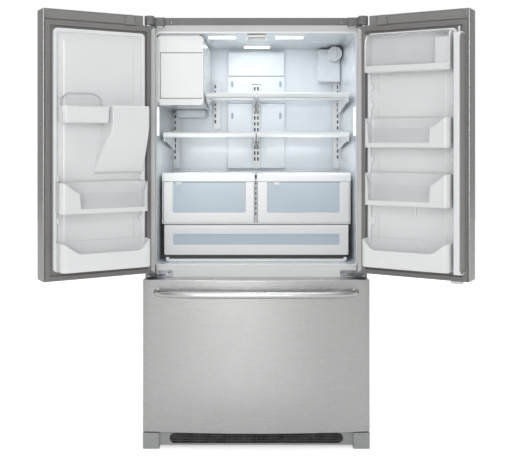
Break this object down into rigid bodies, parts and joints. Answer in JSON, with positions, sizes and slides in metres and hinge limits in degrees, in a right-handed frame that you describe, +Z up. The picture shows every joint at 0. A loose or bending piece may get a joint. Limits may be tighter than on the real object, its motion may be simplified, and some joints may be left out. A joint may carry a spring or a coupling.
{
  "type": "french door refrigerator",
  "caption": "Tall stainless refrigerator with hinged doors over a pull-out freezer drawer, with shelves, crispers, door bins and an ice maker inside.",
  "frame": {"origin": "on the floor, under the middle of the whole object's box with both doors swung open", "axes": "+Z up, front of the cabinet towards -Y, +X to the right seen from the front"},
  "size_m": [1.698, 1.0506, 1.737],
  "materials": {
    "stainless": "vertical brushed stainless steel with a clear coat",
    "grey_paint": "satin grey paint",
    "pale_grey": "satin pale grey paint",
    "foam": "rigid insulating foam",
    "white_liner": "glossy vacuum-formed white plastic",
    "white_trim": "satin moulded white plastic",
    "clear_plastic": "clear moulded plastic and glass",
    "gasket": "matt grey flexible seal",
    "dark_plastic": "matt dark plastic",
    "zinc": "zinc-plated steel",
    "black_paint": "matt black paint",
    "wire": "white coated wire"
  },
  "bodies": {
    "cabinet": {"cabinet_shell": "stainless", "cabinet_core": "foam", "fridge_liner": "white_liner", "freezer_liner": "white_liner", "centre_rail": "pale_grey", "rear_cover": "black_paint", "compressor": "black_paint", "base_grille": "grey_paint", "levelling_leg_left": "dark_plastic", "levelling_leg_right": "dark_plastic", "left_top_hinge": "zinc", "right_top_hinge": "zinc", "left_hinge_cover": "grey_paint", "right_hinge_cover": "grey_paint", "left_middle_hinge": "zinc", "right_middle_hinge": "zinc", "mullion_guide": "grey_paint", "air_duct_cover": "white_liner", "centre_track": "white_trim", "right_track": "white_trim", "upper_shelf_left": "clear_plastic", "upper_shelf_right": "clear_plastic", "lower_shelf_left": "clear_plastic", "lower_shelf_right": "clear_plastic", "crisper_frame": "white_trim", "ice_maker_housing": "white_liner", "filter_housing": "white_liner"},
    "left_door": {"left_door_panel": "stainless", "left_door_liner": "white_liner", "left_door_gasket": "gasket", "left_door_handle": "stainless", "dispenser_bezel": "dark_plastic", "dispenser_duct": "white_liner", "caddy_bin": "clear_plastic", "left_door_bin": "clear_plastic"},
    "right_door": {"right_door_panel": "stainless", "right_door_liner": "white_liner", "right_door_gasket": "gasket", "right_door_handle": "stainless", "dairy_bin": "clear_plastic", "upper_door_bin": "clear_plastic", "lower_door_bin": "clear_plastic"},
    "mullion": {"door_mullion": "grey_paint"},
    "dairy_flap": {"dairy_cover": "clear_plastic"},
    "paddle": {"dispenser_paddle": "dark_plastic"},
    "bail": {"caddy_bail": "wire"},
    "freezer_drawer": {"freezer_drawer_panel": "stainless", "freezer_drawer_liner": "white_liner", "freezer_gasket": "gasket", "freezer_handle": "stainless", "lower_basket": "white_liner"},
    "freezer_basket": {"upper_basket": "white_liner"},
    "crisper_left": {"left_crisper": "clear_plastic"},
    "crisper_right": {"right_crisper": "clear_plastic"},
    "slider_left": {"left_humidity_slider": "white_trim"},
    "slider_right": {"right_humidity_slider": "white_trim"},
    "deli": {"deli_drawer": "clear_plastic"},
    "ice_drawer": {"ice_bin": "white_liner"},
    "filter": {"water_filter": "white_trim"},
    "rollers": {"rear_rollers": "zinc"}
  },
  "joints": [
    {"name": "left_door_hinge", "type": "hinge", "parent": "cabinet", "child": "left_door", "pos_m": [-0.436, -0.21869, 1.2], "axis": [0, 0, -1], "range_deg": [-150, 0]},
    {"name": "right_door_hinge", "type": "hinge", "parent": "cabinet", "child": "right_door", "pos_m": [0.436, -0.21869, 1.2], "axis": [0, 0, 1], "range_deg": [-150, 0]},
    {"name": "mullion_flip", "type": "hinge", "parent": "right_door", "child": "mullion", "pos_m": [0.76743, -0.47263, 1.2], "axis": [0, 0, -1], "range_deg": [-90, 0]},
    {"name": "freezer_drawer_slide", "type": "slide", "parent": "cabinet", "child": "freezer_drawer", "axis": [0, -1, 0], "range_m": [0, 0.42]},
    {"name": "freezer_basket_slide", "type": "slide", "parent": "cabinet", "child": "freezer_basket", "axis": [0, -1, 0], "range_m": [0, 0.252]},
    {"name": "left_crisper_slide", "type": "slide", "parent": "cabinet", "child": "crisper_left", "axis": [0, -1, 0], "range_m": [0, 0.3]},
    {"name": "right_crisper_slide", "type": "slide", "parent": "cabinet", "child": "crisper_right", "axis": [0, -1, 0], "range_m": [0, 0.3]},
    {"name": "left_humidity_slide", "type": "slide", "parent": "crisper_left", "child": "slider_left", "axis": [1, 0, 0], "range_m": [0, 0.04]},
    {"name": "right_humidity_slide", "type": "slide", "parent": "crisper_right", "child": "slider_right", "axis": [1, 0, 0], "range_m": [0, 0.04]},
    {"name": "deli_drawer_slide", "type": "slide", "parent": "cabinet", "child": "deli", "axis": [0, -1, 0], "range_m": [0, 0.3]},
    {"name": "ice_bin_slide", "type": "slide", "parent": "cabinet", "child": "ice_drawer", "axis": [0, -1, 0], "range_m": [0, 0.3]},
    {"name": "water_filter_turn", "type": "hinge", "parent": "cabinet", "child": "filter", "pos_m": [0.364, 0.3, 1.639], "axis": [0, 1, 0], "range_deg": [0, 90]},
    {"name": "dairy_cover_flip", "type": "hinge", "parent": "right_door", "child": "dairy_flap", "pos_m": [0.56256, -0.43148, 1.641], "axis": [-0.866, 0.5, 0], "range_deg": [0, 80]},
    {"name": "dispenser_paddle_push", "type": "hinge", "parent": "left_door", "child": "paddle", "pos_m": [-0.61187, -0.30808, 1.35769], "axis": [-0.866, -0.5, 0], "range_deg": [0, 10], "stiffness_Nm_per_rad": 0.5},
    {"name": "caddy_bail_fold", "type": "hinge", "parent": "left_door", "child": "bail", "pos_m": [-0.66711, -0.40639, 1.36849], "axis": [0.866, 0.5, 0], "range_deg": [0, 85]},
    {"name": "rear_roller_roll", "type": "hinge", "parent": "cabinet", "child": "rollers", "pos_m": [0, 0.44531, 0.016], "axis": [1, 0, 0], "continuous": true}
  ],
  "couplings": [
    {"joint": "freezer_basket_slide", "follows": "freezer_drawer_slide", "ratio": 0.6}
  ]
}
